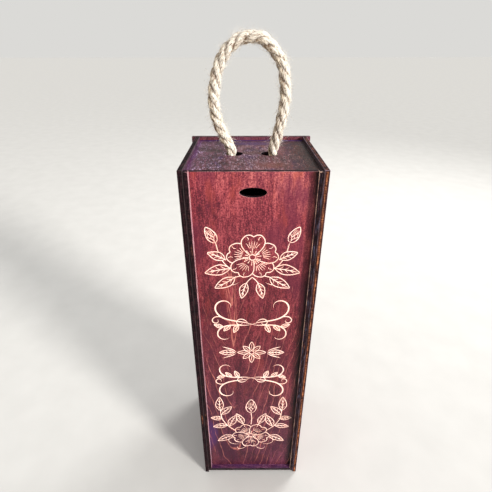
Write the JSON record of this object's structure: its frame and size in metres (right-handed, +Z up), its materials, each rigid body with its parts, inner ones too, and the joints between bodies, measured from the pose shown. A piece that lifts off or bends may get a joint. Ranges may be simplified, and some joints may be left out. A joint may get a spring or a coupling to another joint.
{
  "type": "wooden wine box",
  "caption": "Upright plywood box for a wine bottle, with a lid that slides up out of side grooves, tab-jointed boards, feet and a knotted rope handle.",
  "frame": {"origin": "centre of the footprint, on the surface that the box stands on", "axes": "+X to the right as seen from the lid side, +Y towards the back board, +Z up"},
  "size_m": [0.12, 0.12, 0.4728],
  "materials": {
    "case_plywood": "dark red-brown stained plywood, satin, with burnt laser-cut edges",
    "inner_plywood": "stained plywood, matt",
    "lip_plywood": "burnt and stained plywood edge, matt",
    "lid_plywood": "mahogany-red stained plywood with a streaky open grain, satin",
    "twisted_rope": "three-strand natural fibre rope, hairy and matt"
  },
  "bodies": {
    "case": {"left_side_board": "case_plywood", "right_side_board": "case_plywood", "left_liner": "inner_plywood", "right_liner": "inner_plywood", "left_front_lip": "lip_plywood", "right_front_lip": "lip_plywood", "back_board": "case_plywood", "top_board": "case_plywood", "bottom_board": "case_plywood", "left_rope_knot": "twisted_rope", "right_rope_knot": "twisted_rope"},
    "lid": {"sliding_lid": "lid_plywood"},
    "handle": {"rope_handle": "twisted_rope"}
  },
  "joints": [
    {"name": "lid_slide", "type": "slide", "parent": "case", "child": "lid", "axis": [0, 0, 1], "range_m": [0, 0.4]},
    {"name": "handle_tilt", "type": "hinge", "parent": "case", "child": "handle", "pos_m": [0, 0.0025, 0.3842], "axis": [1, 0, 0], "range_deg": [-80, 80], "stiffness_Nm_per_rad": 0.05}
  ]
}
